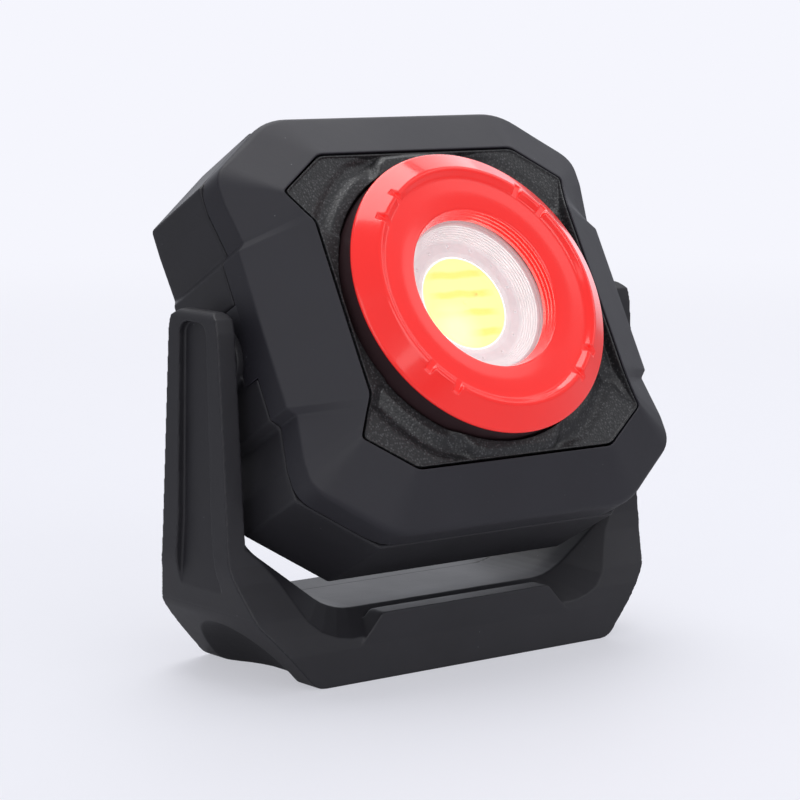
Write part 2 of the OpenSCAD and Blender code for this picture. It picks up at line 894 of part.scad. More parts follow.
stand_frame();
base_cover();
base_screws();
base_magnets();
magnet_cups();
foot_pads();
arm_inserts();
pivot_bolts();
wave_washers();
friction_discs();
front_bezel();
front_panel();
lamp_collar();
lens_ring();
ring_screws();
clear_lens();
lens_seal();
reflector();
led_disc();
led_board();
led_screws();
thermal_pad();
heat_sink();
housing_gasket();
rear_housing();
case_screws();
pivot_bushes();
battery_cells();
battery_holder();
driver_board();
board_parts();
board_screws();
tact_switch();
usb_socket();
gauge_window();
led_wires();
battery_wires();
port_cover_pin();
power_button();
port_cover();
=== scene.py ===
"""Work light with a tilting lamp head: the looks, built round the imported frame.

Shapes are drawn in millimetres in the head's own frame; make() turns them into metres in the shared frame.
"""
import json
import math

import bmesh
import bpy
from mathutils import Matrix, Vector

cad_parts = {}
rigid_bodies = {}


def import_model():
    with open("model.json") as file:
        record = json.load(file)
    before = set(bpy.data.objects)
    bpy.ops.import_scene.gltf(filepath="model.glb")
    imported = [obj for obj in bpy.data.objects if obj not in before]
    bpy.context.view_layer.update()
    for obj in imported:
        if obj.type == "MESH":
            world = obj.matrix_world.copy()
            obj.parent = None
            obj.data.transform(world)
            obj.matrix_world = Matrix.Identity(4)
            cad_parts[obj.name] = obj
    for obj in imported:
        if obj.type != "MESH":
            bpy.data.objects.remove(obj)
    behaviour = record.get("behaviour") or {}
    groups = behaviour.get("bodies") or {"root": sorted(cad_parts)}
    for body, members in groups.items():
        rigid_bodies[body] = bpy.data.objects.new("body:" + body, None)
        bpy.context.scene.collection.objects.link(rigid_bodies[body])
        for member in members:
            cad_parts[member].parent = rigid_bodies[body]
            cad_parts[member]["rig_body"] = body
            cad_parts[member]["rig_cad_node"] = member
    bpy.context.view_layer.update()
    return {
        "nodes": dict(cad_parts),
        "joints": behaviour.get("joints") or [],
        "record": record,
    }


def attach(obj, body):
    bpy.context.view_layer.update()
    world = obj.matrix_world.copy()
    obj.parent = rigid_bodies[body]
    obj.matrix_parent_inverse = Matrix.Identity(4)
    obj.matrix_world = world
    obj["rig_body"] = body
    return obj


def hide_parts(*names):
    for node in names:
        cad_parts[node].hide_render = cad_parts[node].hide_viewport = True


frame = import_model()

MM = 0.001
HEAD_TILT = math.radians(28.8)
PIVOT = Vector(next(j for j in frame["joints"] if j["name"] == "head_tilt")["pos_m"])
UP = Vector((0, math.sin(HEAD_TILT), math.cos(HEAD_TILT)))
FORWARD = Vector((0, -math.cos(HEAD_TILT), math.sin(HEAD_TILT)))
# Head frame: x right, y up the head, z forward along the beam
HEAD = Matrix.Translation(PIVOT) @ Matrix((Vector((1, 0, 0)), UP, FORWARD)).transposed().to_4x4()


# ---- Mesh helpers ----

def make(name, verts, faces, body):
    """An object that rides on body, from points in the head's frame."""
    mesh = bpy.data.meshes.new(name)
    mesh.from_pydata([tuple(c * MM for c in v) for v in verts], [], faces)
    mesh.transform(HEAD)
    bm = bmesh.new()
    bm.from_mesh(mesh)
    bmesh.ops.remove_doubles(bm, verts=bm.verts, dist=1e-7)
    bmesh.ops.recalc_face_normals(bm, faces=bm.faces)
    bm.to_mesh(mesh)
    bm.free()
    for p in mesh.polygons:
        p.use_smooth = True
    obj = bpy.data.objects.new(name, mesh)
    bpy.context.scene.collection.objects.link(obj)
    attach(obj, body)
    return obj


def weighted(obj):
    """Shades large faces flat and the narrow ones between them round."""
    m = obj.modifiers.new("normals", "WEIGHTED_NORMAL")
    m.keep_sharp = True
    m.weight = 90


def round_corner(a, b, c, r, steps):
    """Points of the corner b between a and c, cut back by r and curved."""
    a, b, c = Vector(a), Vector(b), Vector(c)
    if r <= 0:
        return [b]
    p = b + (a - b).normalized() * min(r, (a - b).length * 0.49)
    q = b + (c - b).normalized() * min(r, (c - b).length * 0.49)
    return [p * (1 - t) ** 2 + b * 2 * t * (1 - t) + q * t * t for t in (i / steps for i in range(steps + 1))]


def round_path(points, radii, steps):
    """A closed path with each of its corners rounded by its own radius."""
    n = len(points)
    out = []
    for i, p in enumerate(points):
        out += round_corner(points[i - 1], p, points[(i + 1) % n], radii[i], steps)
    return out


def loft(name, rings, body, caps=False, closed=True):
    """A skin over matched rings of points; closed joins the last ring to the first."""
    n = len(rings[0])
    verts = [tuple(p) for r in rings for p in r]
    m = len(rings)
    faces = []
    for j in range(m if closed else m - 1):
        a, b = j * n, (j + 1) % m * n
        for i in range(n):
            k = (i + 1) % n
            faces.append((a + i, a + k, b + k, b + i))
    if caps:
        faces.append(tuple(range(n)))
        faces.append(tuple(range((m - 1) * n, m * n)))
    return make(name, verts, faces, body)


def revolve(name, profile, steps, body, height=None):
    """Spins (radius, forward) points about the head's axis; height(r, angle, f) may add to f."""
    rings = []
    for r, f in profile:
        ring = []
        for i in range(steps):
            a = math.tau * i / steps
            ring.append((r * math.cos(a), r * math.sin(a), f + (height(r, a, f) if height else 0)))
        rings.append(ring)
    return loft(name, rings, body)


def refine(profile, step):
    """Adds points along a closed profile so that none are further apart than step."""
    out = []
    n = len(profile)
    for i, p in enumerate(profile):
        q = profile[(i + 1) % n]
        k = max(1, math.ceil((q - p).length / step))
        out += [p.lerp(q, j / k) for j in range(k)]
    return out


def cut(obj, *cutters, how="DIFFERENCE"):
    """Takes the cutters out of obj, or adds them, and deletes them."""
    for c in cutters:
        m = obj.modifiers.new("cut", "BOOLEAN")
        m.operation = how
        m.solver = "EXACT"
        m.object = c
    bake(obj)
    for c in cutters:
        bpy.data.objects.remove(c)


def bake(obj):
    """Applies the object's modifiers to its mesh."""
    bpy.context.view_layer.update()
    seen = obj.evaluated_get(bpy.context.evaluated_depsgraph_get())
    mesh = bpy.data.meshes.new_from_object(seen)
    obj.modifiers.clear()
    old = obj.data
    obj.data = mesh
    bpy.data.meshes.remove(old)


def rod(name, r, x0, x1):
    """A solid round bar along the tilt axis, for cutting the head."""
    steps = 96
    turns = [math.tau * i / steps for i in range(steps)]
    rings = [[(x, r * math.cos(a), r * math.sin(a)) for a in turns] for x in (x0, x1)]
    return loft(name, rings, "head", caps=True, closed=False)


# ---- Materials ----

class Nodes:
    """A small builder for one procedural material."""

    def __init__(self, name):
        self.mat = bpy.data.materials.new(name)
        self.mat.use_nodes = True
        self.tree = self.mat.node_tree
        self.bsdf = self.tree.nodes["Principled BSDF"]
        self.place = self.new("ShaderNodeTexCoord").outputs["Object"]

    def new(self, kind, **values):
        n = self.tree.nodes.new(kind)
        for k, v in values.items():
            if hasattr(n, k):
                setattr(n, k, v)
            else:
                n.inputs[k.replace("_", " ")].default_value = v
        return n

    def link(self, a, b):
        self.tree.links.new(a, b)

    def noise(self, size_mm, detail=3.0, rough=0.55):
        n = self.new("ShaderNodeTexNoise", Scale=1 / (size_mm * MM), Detail=detail, Roughness=rough)
        self.link(self.place, n.inputs["Vector"])
        return n.outputs["Fac"]

    def cells(self, size_mm, output="Distance"):
        n = self.new("ShaderNodeTexVoronoi", feature="F1", Scale=1 / (size_mm * MM), Randomness=1.0)
        self.link(self.place, n.inputs["Vector"])
        return n.outputs[output]

    def ramp(self, value, *stops):
        n = self.new("ShaderNodeValToRGB")
        e = n.color_ramp.elements
        while len(e) < len(stops):
            e.new(0.5)
        for i, (at, colour) in enumerate(stops):
            e[i].position = at
            e[i].color = (*colour, 1) if isinstance(colour, tuple) else (colour, colour, colour, 1)
        self.link(value, n.inputs["Fac"])
        return n.outputs["Color"]

    def mix(self, factor, a, b):
        n = self.new("ShaderNodeMix", data_type="RGBA")
        for socket, value in ((n.inputs[0], factor), (n.inputs[6], a), (n.inputs[7], b)):
            if isinstance(value, bpy.types.NodeSocket):
                self.link(value, socket)
            elif isinstance(value, tuple):
                socket.default_value = (*value, 1)
            else:
                socket.default_value = value
        return n.outputs[2]

    def maths(self, op, a, b=0.0):
        n = self.new("ShaderNodeMath", operation=op)
        for socket, value in zip(n.inputs, (a, b)):
            if isinstance(value, bpy.types.NodeSocket):
                self.link(value, socket)
            else:
                socket.default_value = value
        return n.outputs[0]

    def bump(self, height, strength, depth_mm, after=None):
        n = self.new("ShaderNodeBump", Strength=strength, Distance=depth_mm * MM)
        self.link(height, n.inputs["Height"])
        if after is not None:
            self.link(after, n.inputs["Normal"])
        return n.outputs["Normal"]

    def set(self, **values):
        for k, v in values.items():
            socket = self.bsdf.inputs[k.replace("_", " ")]
            if isinstance(v, bpy.types.NodeSocket):
                self.link(v, socket)
            elif isinstance(v, tuple):
                socket.default_value = (*v, 1)
            else:
                socket.default_value = v
        return self.mat

    def edge(self, radius_mm):
        """1 on convex edges, 0 on flats."""
        b = self.new("ShaderNodeBevel", samples=6, Radius=radius_mm * MM)
        geo = self.new("ShaderNodeNewGeometry")
        dot = self.new("ShaderNodeVectorMath", operation="DOT_PRODUCT")
        self.link(b.outputs[0], dot.inputs[0])
        self.link(geo.outputs["Normal"], dot.inputs[1])
        return self.ramp(self.maths("SUBTRACT", 1, dot.outputs["Value"]), (0.015, 0.0), (0.1, 1.0))


def moulded(name, colour, light, rough, dust=0.35):
    """Dark moulded plastic or rubber: fine grain, specks of dust and lighter edges, partly wear and partly a
    painted highlight where the edges catch the light.
    """
    n = Nodes(name)
    cloud = n.noise(14, 4)
    specks = n.ramp(n.cells(2.4), (0.0, 1.0), (0.08, 0.0))
    sparse = n.ramp(n.noise(6, 2), (0.56, 0.0), (0.66, 1.0))
    speck = n.maths("MULTIPLY", n.maths("MULTIPLY", specks, sparse), dust)
    base = n.mix(n.ramp(cloud, (0.3, 0.0), (0.75, 1.0)), colour, light)
    # Convex edges lightened in colour: partly wear, partly a painted highlight of light catching the edges
    edge_wear_and_highlight = n.mix(n.maths("MULTIPLY", n.edge(0.35), 0.5), base, tuple(min(1, c * 4) for c in light))
    fine = n.noise(0.35, 4, 0.6)
    soft = n.noise(3.0, 2)
    r = n.maths("ADD", n.maths("MULTIPLY", cloud, 0.12), rough - 0.06)
    normal = n.bump(soft, 0.12, 0.25, n.bump(fine, 0.25, 0.05))
    return n.set(Base_Color=n.mix(speck, edge_wear_and_highlight, (0.4, 0.4, 0.42)), Roughness=r, Normal=normal)


def grained(name, colour, light, rough, cell_mm=0.42):
    """Fine-grained plastic: small pebbles, some of them catching the light."""
    n = Nodes(name)
    cells = n.cells(cell_mm)
    lot = n.cells(cell_mm, output="Color")
    fine = n.noise(0.16, 3)
    tops = n.ramp(cells, (0.0, 1.0), (0.62, 0.0))
    spark = n.maths("MULTIPLY", n.ramp(lot, (0.38, 0.0), (0.75, 1.0)), tops)
    base = n.mix(spark, n.mix(n.noise(2.5, 3), colour, light), (0.11, 0.11, 0.115))
    r = n.maths("SUBTRACT", rough, n.maths("MULTIPLY", spark, 0.15))
    normal = n.bump(cells, 0.8, 0.08, n.bump(fine, 0.3, 0.03))
    return n.set(Base_Color=base, Roughness=r, Normal=normal)


def gloss(name, colour, deep, glow):
    """Shiny tinted plastic; glow is a painted glow, an even emission of its own colour that makes it look a
    little brighter.
    """
    n = Nodes(name)
    cloud = n.noise(9, 3)
    haze = n.noise(0.8, 3)
    base = n.mix(cloud, colour, deep)
    r = n.maths("ADD", n.maths("MULTIPLY", haze, 0.08), 0.12)
    return n.set(Base_Color=base, Roughness=r, Coat_Weight=0.4, Coat_Roughness=0.06,
                 Emission_Color=colour, Emission_Strength=glow, Normal=n.bump(n.noise(5, 2), 0.03, 0.2))


def metal(name, colour, rough):
    """Bare or plated metal with faint smears."""
    n = Nodes(name)
    fine = n.noise(0.15, 4, 0.7)
    smear = n.noise(4, 3)
    dark = tuple(c * 0.7 for c in colour)
    r = n.maths("ADD", n.maths("MULTIPLY", smear, 0.2), rough - 0.1)
    return n.set(Base_Color=n.mix(smear, colour, dark), Metallic=1.0, Roughness=r,
                 Normal=n.bump(fine, 0.2, 0.02))


def plain(name, colour, rough, glow=0.0):
    """Matt coloured part with slow changes of tone; glow is a painted glow, an even emission that makes the
    part look more brightly lit.
    """
    n = Nodes(name)
    cloud = n.noise(5, 4)
    dark = tuple(c * 0.75 for c in colour)
    r = n.maths("ADD", n.maths("MULTIPLY", cloud, 0.15), rough - 0.07)
    return n.set(Base_Color=n.mix(cloud, colour, dark), Roughness=r, Emission_Color=colour,
                 Emission_Strength=glow, Normal=n.bump(n.noise(0.3, 3), 0.15, 0.03))


def clear(name, tint, haze):
    """Thin clear sheet: mostly see-through, with a soft reflection."""
    n = Nodes(name)
    out = n.tree.nodes["Material Output"]
    see = n.new("ShaderNodeBsdfTransparent")
    see.inputs["Color"].default_value = (*tint, 1)
    shine = n.new("ShaderNodeBsdfGlossy", Roughness=0.04)
    milk = n.new("ShaderNodeBsdfDiffuse")
    milk.inputs["Color"].default_value = (0.9, 0.92, 0.95, 1)
    fres = n.new("ShaderNodeLayerWeight", Blend=0.12)
    n.link(n.bump(n.noise(8, 2), 0.02, 0.2), fres.inputs["Normal"])
    back = n.new("ShaderNodeNewGeometry").outputs["Backfacing"]
    front = n.maths("MULTIPLY", fres.outputs["Fresnel"], n.maths("SUBTRACT", 1, back))
    a = n.new("ShaderNodeMixShader")
    a.inputs[0].default_value = haze
    n.link(see.outputs[0], a.inputs[1])
    n.link(milk.outputs[0], a.inputs[2])
    b = n.new("ShaderNodeMixShader")
    n.link(front, b.inputs[0])
    n.link(a.outputs[0], b.inputs[1])
    n.link(shine.outputs[0], b.inputs[2])
    n.link(b.outputs[0], out.inputs["Surface"])
    return n.mat


def phosphor(name):
    """Lit phosphor: pale yellow with deeper soft bands across it and a white glow low on one side."""
    n = Nodes(name)

    def along(axis):
        d = n.new("ShaderNodeVectorMath", operation="DOT_PRODUCT")
        n.link(n.place, d.inputs[0])
        d.inputs[1].default_value = axis
        return n.maths("SUBTRACT", d.outputs["Value"], PIVOT.dot(axis))

    x, up = along(Vector((1, 0, 0))), along(UP)
    wobble = n.maths("MULTIPLY", n.maths("SUBTRACT", n.noise(5, 2), 0.5), 1.2 * MM)
    pitch, shift = 4.8 * MM, 2.6 * MM
    phase = n.maths("MULTIPLY", n.maths("ADD", n.maths("ADD", up, wobble), shift), math.tau / pitch)
    band = n.ramp(n.maths("COSINE", phase), (0.1, 0.0), (0.85, 1.0))
    spot_left, spot_low = 4.5 * MM, 6.5 * MM
    dx = n.maths("ADD", x, spot_left)
    dy = n.maths("ADD", up, spot_low)
    gap = n.maths("SQRT", n.maths("ADD", n.maths("MULTIPLY", dx, dx), n.maths("MULTIPLY", dy, dy)))
    glow = n.ramp(n.maths("MULTIPLY", gap, 100), (0.2, 1.0), (0.75, 0.0))
    edge_x = n.ramp(n.maths("MULTIPLY", n.maths("ABSOLUTE", x), 100), (0.6, 1.0), (0.98, 0.0))
    strong = n.maths("MULTIPLY", n.maths("MULTIPLY", band, n.maths("SUBTRACT", 1, glow)), edge_x)
    yellow = n.mix(strong, (1.0, 0.95, 0.38), (0.98, 0.87, 0.16))
    colour = n.mix(n.maths("MULTIPLY", glow, 0.5), yellow, (1.0, 1.0, 0.85))
    ray = n.new("ShaderNodeLightPath").outputs["Is Camera Ray"]
    cast, seen_less = 3.9, 2.95
    power = n.maths("SUBTRACT", cast, n.maths("MULTIPLY", ray, seen_less))
    colour = n.mix(ray, (1.0, 0.97, 0.9), colour)
    return n.set(Base_Color=(0.25, 0.22, 0.08), Roughness=0.45, Emission_Color=colour,
                 Emission_Strength=power, Normal=n.bump(n.noise(0.5, 3), 0.2, 0.05))


MATERIALS = {
    "moulded_black": moulded("moulded_black", (0.0165, 0.0157, 0.0195), (0.022, 0.021, 0.026), 0.52, 0.5),
    "bezel_rubber": moulded("bezel_rubber", (0.0165, 0.0155, 0.0215), (0.0205, 0.0195, 0.0265), 0.56, 0.5),
    "grained_black": grained("grained_black", (0.011, 0.011, 0.0118), (0.0185, 0.0185, 0.0205), 0.42, 0.5),
    "collar_black": plain("collar_black", (0.06, 0.03, 0.034), 0.4),
    # The red ring's glow of 0.24 is a painted glow: an even emission on a part that is no lamp
    "ring_red": gloss("ring_red", (0.96, 0.024, 0.019), (0.9, 0.02, 0.016), 0.24),
    "button_red": plain("button_red", (0.62, 0.03, 0.025), 0.5),
    "flap_rubber": moulded("flap_rubber", (0.025, 0.025, 0.028), (0.03, 0.03, 0.033), 0.65),
    "foot_rubber": moulded("foot_rubber", (0.02, 0.02, 0.022), (0.028, 0.028, 0.03), 0.7),
    "fibre_black": plain("fibre_black", (0.03, 0.028, 0.026), 0.6),
    "clear_lens": clear("clear_lens", (0.98, 0.98, 0.98), 0.03),
    "gauge_clear": clear("gauge_clear", (0.7, 0.72, 0.75), 0.4),
    # The reflector's glow of 0.16 is a painted glow that makes it look more brightly lit by the disc
    "reflector_white": plain("reflector_white", (0.93, 0.88, 0.89), 0.35, 0.16),
    "led_yellow": phosphor("led_yellow"),
    "board_white": plain("board_white", (0.8, 0.8, 0.82), 0.4),
    "board_green": plain("board_green", (0.02, 0.12, 0.05), 0.35),
    "chip_black": plain("chip_black", (0.02, 0.02, 0.023), 0.5),
    "holder_grey": plain("holder_grey", (0.08, 0.08, 0.085), 0.5),
    "cell_sleeve": plain("cell_sleeve", (0.05, 0.16, 0.33), 0.3),
    "wire_red": plain("wire_red", (0.42, 0.04, 0.03), 0.4),
    "thermal_grey": plain("thermal_grey", (0.3, 0.33, 0.35), 0.7),
    "sink_aluminium": metal("sink_aluminium", (0.62, 0.63, 0.65), 0.38),
    "plated_steel": metal("plated_steel", (0.6, 0.6, 0.62), 0.3),
    "raw_steel": metal("raw_steel", (0.42, 0.43, 0.45), 0.4),
    "brass": metal("brass", (0.7, 0.52, 0.24), 0.3),
}


def paint(obj, slot):
    """Gives the object the material of one slot."""
    obj.data.materials.clear()
    obj.data.materials.append(MATERIALS[slot])


SLOT_OF = {s["node"]: s["material_slot"] for s in frame["record"]["subparts"]}
for node_name, node_obj in frame["nodes"].items():
    paint(node_obj, SLOT_OF[node_name])
# White silicone, so that no dark line shows round the window; it also takes the reflector's painted glow
paint(frame["nodes"]["lens_seal"], "reflector_white")


# ---- Head shells ----

# Half sizes of the head's outline; forward places of the case seam, the side edge and the panel's border
HEAD_X, HEAD_Y = 52.2, 50.4
SEAM, EDGE, BORDER = 9.9, 17.1, 23.9
WALL = 2.8
SEAM_GAP, PANEL_GAP = 0.45, 0.6
# Notch in each side: where it starts beside the pivot, the foot of its slope and the slope's top
NOTCH_START, NOTCH_FOOT, NOTCH_TOP = 18.5, 20.4, 30.5
NOTCH_LIP, NOTCH_DEPTH = 0.2, 1.8
# Where the cut corners start on the top and the sides
CUT_X, CUT_Y = 34, 37.2
# Tabs that reach back beside the pivots, and the holes in them for the hubs
TAB_HALF, TAB_BACK, TAB_FRONT, TAB_DEPTH = 8.6, 5.2, 11.5, 2.6
HUB_HOLE_R, HUB_HOLE_IN, HUB_HOLE_OUT = 8.0, 49.1, 60


def smooth(t):
    """Eases from 0 to 1 as t does."""
    t = min(1.0, max(0.0, t))
    return t * t * (3 - 2 * t)


def mirrored(quarter):
    """A closed outline from its first quarter of (x, y, f, corner) points."""
    left = [(-x, y, f, c) for x, y, f, c in reversed(quarter)]
    low = [(x, -y, f, c) for x, y, f, c in reversed(quarter)]
    turned = [(-x, -y, f, c) for x, y, f, c in quarter]
    return quarter + left + turned + low


def path(quarter):
    """The whole outline of a quarter, with its corners rounded."""
    pts = mirrored(quarter)
    return round_path([Vector(p[:3]) for p in pts], [p[3] for p in pts], 6)


def head_quarter(d, f):
    """The head's outline with its cut corners and side notch, shrunk by d."""
    return [(HEAD_X + NOTCH_LIP - d, NOTCH_START, f, 0.3), (HEAD_X - NOTCH_DEPTH - d, NOTCH_FOOT, f, 0.4),
            (HEAD_X - d, NOTCH_TOP, f, 0.9), (HEAD_X - d, CUT_Y - d * 0.5, f, 4.0),
            (CUT_X - d * 0.33, HEAD_Y - d, f, 5.5)]


def border_quarter(d, drop=0.0):
    """Edge between the bezel and the trim panel, which climbs forward at the waist beside the lamp."""
    f = BORDER - drop
    return [(36.9 - d, 20.6, BORDER + 2.8 - drop, 1.0), (38.1 - d, 23.6, BORDER + 1.7 - drop, 1.0),
            (39.5 - d, 27, BORDER + 0.6 - drop, 0.5), (40.5 - d, 29.3, f, 1.0), (28, 38 - d, f, 1.4)]


def sections(paths, radii, steps, step_mm):
    """Joins matched outlines into rings, rounding each section's corners and splitting its long runs."""
    n = len(paths[0])
    rows = []
    for i in range(n):
        cut_back = [r(paths[0][i]) if callable(r) else r for r in radii]
        rows.append(round_path([p[i] for p in paths], cut_back, steps))
    counts = []
    m = len(rows[0])
    for j in range(m):
        longest = max((rows[i][(j + 1) % m] - rows[i][j]).length for i in range(n))
        counts.append(max(1, math.ceil(longest / step_mm)))
    rings = []
    for j in range(m):
        for k in range(counts[j]):
            t = k / counts[j]
            rings.append([rows[i][j].lerp(rows[i][(j + 1) % m], t) for i in range(n)])
    return rings


def split(paths, step_mm):
    """Splits matched outlines so that none of their points are further apart than step_mm."""
    n = len(paths[0])
    out = [[] for _ in paths]
    for i in range(n):
        k = max(1, math.ceil((paths[0][(i + 1) % n] - paths[0][i]).length / step_mm))
        for p, o in zip(paths, out):
            o += [p[i].lerp(p[(i + 1) % n], t / k) for t in range(k)]
    return out


def front_edge(p):
    """Rounding of the bezel's front edge: crisp at the sides, softer along the top and bottom."""
    return 0.45 + 0.9 * smooth((abs(p.y) - 34) / 12)


def side_tab(side):
    """Tab of the bezel which reaches back beside a pivot."""
    x0, x1 = sorted((side * (HEAD_X - TAB_DEPTH), side * (HEAD_X + 0.18)))
    rings = []
    for x in (x0, x1):
        rings.append([Vector(c) for c in ((x, -TAB_HALF, TAB_BACK), (x, TAB_HALF, TAB_BACK),
                                          (x, TAB_HALF, TAB_FRONT), (x, -TAB_HALF, TAB_FRONT))])
    return loft("side_tab", rings, "head", caps=True, closed=False)


def build_bezel():
    """Front shell: sides, sloping face and the inside, as one skin round the wall's section."""
    low = SEAM + SEAM_GAP
    quarters = [head_quarter(0, low), head_quarter(0, EDGE), border_quarter(0), border_quarter(0, 3),
                head_quarter(WALL, EDGE - 2.6), head_quarter(WALL, low)]
    paths = split([path(q) for q in quarters], 2.5)
    rings = sections(paths, [0.2, front_edge, 0.55, 0.4, 0.6, 0.3], 5, 2.5)
    bezel = loft("bezel_shell", rings, "head")
    cut(bezel, side_tab(-1), side_tab(1), how="UNION")
    cut(bezel, *(rod("cut_hub", HUB_HOLE_R, s * HUB_HOLE_IN, s * HUB_HOLE_OUT) for s in (-1, 1)))
    weighted(bezel)
    paint(bezel, "bezel_rubber")
    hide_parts("front_bezel")


build_bezel()


def build_panel():
    """Grained trim panel: flush with the bezel at its rim, a shallow valley and bridges round the collar."""
    rim_out = split([path(border_quarter(PANEL_GAP))], 1.0)[0]
    inner_r = 34.35
    valley_r, valley_w = 39.6, 1.7
    step_r = 38.2
    bridge_half, bridge_foot, bridge_top, flare = 9.6, 37.9, 37.4, 0.7

    def height(p, q):
        """Forward place at q, reached from the rim point p on the way to the collar."""
        r = math.hypot(q.x, q.y)
        gone = (q.xy - p.xy).length
        waist = p.z - BORDER
        sheet = BORDER - 0.5 + waist * 0.45 * (1 - smooth(gone / 4.0))
        rim = p.z - 0.15 - 2.2 * smooth((gone - 0.3) / 0.9)
        valley = 0.75 * math.exp(-((r - valley_r) / valley_w) ** 2) * smooth((gone - 0.5) / 2.5)
        step = 0.5 * smooth((step_r - r) / 1.8)
        y = abs(q.y)
        sides = abs(q.x) - bridge_half - (bridge_foot - y) * flare
        bridge = 0.9 * smooth((bridge_top - y) / 1.8) * (1 - smooth(sides / 2.2)) * smooth((y - 27) / 4)
        pit = 0.8 * smooth(sides / 2.2) * (1 - smooth((sides - 3.0) / 5.0)) * smooth((y - 30.5) / 3)
        return max(rim, sheet - valley + step - pit + bridge)

    rings = []
    steps = 60
    for j in range(steps + 1):
        t = (j / steps) ** 1.3
        ring = []
        for p in rim_out:
            a = math.atan2(p.y, p.x)
            goal = Vector((inner_r * math.cos(a), inner_r * math.sin(a), 0))
            q = p.lerp(goal, t)
            ring.append(Vector((q.x, q.y, height(p, q))))
        rings.append(ring)
    low = BORDER - 4.4
    rings.append([Vector((p.x, p.y, low)) for p in rings[-1]])
    rings.append([Vector((p.x, p.y, low)) for p in rings[0]])
    panel = loft("trim_panel", rings, "head")
    weighted(panel)
    paint(panel, "grained_black")
    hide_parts("front_panel")


build_panel()


# ---- Lamp stack ----

# Ring: outer radius, seat on the collar, raised lip, flat face, funnel and window
RING_R, SEAT = 34.2, 28.85
LIP_F, FACE_F = 33.0, 31.9
FUNNEL_R, WINDOW_R = 19.4, 18.1
# Lens front, thickness and radius; board front; radii of the light source and the reflector's mouth
LENS_F, LENS_T, LENS_R = 28.0, 1.6, 20.2
BOARD_F, LED_R, CUP_R = 22.4, 11.0, 17.6


def spun(points, radii, step, steps=5):
    """A rounded closed profile of (radius, forward) points."""
    flat = round_path([Vector((r, f, 0)) for r, f in points], radii, steps)
    return [(p.x, p.y) for p in refine(flat, step)]


def build_ring():
    """Red ring: chamfered rim, raised lip with eight notches, flat face and a funnel of fine ridges."""
    ridges = []
    count = 4
    window_f = LENS_F + 0.12
    for k in range(count):
        t = (k + 1) / (count + 0.4)
        r = FUNNEL_R - (FUNNEL_R - WINDOW_R) * t
        f = FACE_F - (FACE_F - window_f) * t
        ridges += [(r + 0.05, f + 0.32), (r - 0.02, f)]
    points = [(RING_R, SEAT), (RING_R, 29.4), (29.2, LIP_F), (28.4, LIP_F), (27.2, FACE_F), (22.5, FACE_F),
              (FUNNEL_R, FACE_F - 0.25)] + ridges + [(WINDOW_R, window_f), (WINDOW_R, LENS_F + 0.05),
              (LENS_R - 0.05, LENS_F + 0.05), (LENS_R - 0.05, SEAT)]
    radii = [0.2, 0.45, 0.3, 0.3, 0.35, 1.2, 0.5] + [0.1, 0.08] * count + [0.03, 0.03, 0.1, 0.1]
    profile = spun(points, radii, 0.35, 4)
    half_w, notch_end, pair_turn = 0.85, 30.6, 7.5

    def notch(r, a, f):
        """Depth of the eight radial notches through the raised lip, two at each corner."""
        if f < FACE_F + 0.02 or r < 26.6 or r > 31:
            return 0.0
        for centre in (45, 135, 225, 315):
            for side in (-pair_turn, pair_turn):
                d = (a - math.radians(centre + side) + math.pi) % math.tau - math.pi
                across = abs(r * math.sin(d))
                if across < half_w + 0.25:
                    wall = min(1.0, max(0.0, (half_w + 0.12 - across) / 0.24))
                    end = min(1.0, max(0.0, (notch_end - r) / 0.25))
                    return -(f - FACE_F) * wall * end
        return 0.0

    ring = revolve("red_ring", profile, 1080, "head", notch)
    weighted(ring)
    paint(ring, "ring_red")
    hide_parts("lens_ring")


def build_collar():
    """Black collar under the ring, with a foot that spreads behind the panel."""
    points = [(31.0, 14.5), (38.4, 16.0), (38.4, 18.4), (33.7, 18.4), (33.7, 28.8), (30.6, 28.8),
              (30.6, 26.4), (20.4, 26.4), (20.4, 14.5)]
    radii = [0.2, 0.4, 0.4, 0.5, 0.35, 0.2, 0.2, 0.2, 0.2]
    collar = revolve("lamp_collar_body", spun(points, radii, 3.0), 192, "head")
    weighted(collar)
    paint(collar, "collar_black")
    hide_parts("lamp_collar")


def build_reflector():
    """White ring round the light: a sloping cone of fine concentric steps and a row of pin dots."""
    cone = []
    count = 7
    top = LENS_F - LENS_T - 0.04
    for k in range(count):
        t = k / count
        r = CUP_R - (CUP_R - 15.0) * t
        f = top - (top - BOARD_F - 0.95) * t
        cone += [(r, f), (r - 0.02, f - 0.34), (r - 0.13, f - 0.38)]
    rim_r, seal_r, seal_h = 20.1, 18.4, 1.3
    points = [(rim_r, BOARD_F + 0.1), (rim_r, top - seal_h), (seal_r, top - seal_h), (seal_r, top),
              (CUP_R + 0.2, top)] + cone
    points += [(14.7, BOARD_F + 0.75), (LED_R + 1.6, BOARD_F + 0.7), (LED_R + 0.35, BOARD_F + 0.35),
               (LED_R + 0.35, BOARD_F + 0.1)]
    profile = [(p.x, p.y) for p in refine([Vector((r, f, 0)) for r, f in points], 0.12)]
    dots = 14

    def pin(r, a, f):
        if not 13.2 < r < 14.4 or f < BOARD_F + 0.6:
            return 0.0
        turn = math.tau / dots
        d = (a - math.radians(12)) % turn
        d = min(d, turn - d)
        gap = math.hypot(r - 13.8, d * 13.8)
        return -0.5 * min(1.0, max(0.0, (0.34 - gap) / 0.12))

    body = revolve("reflector_cup", profile, 1120, "head", pin)
    weighted(body)
    paint(body, "reflector_white")
    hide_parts("reflector")


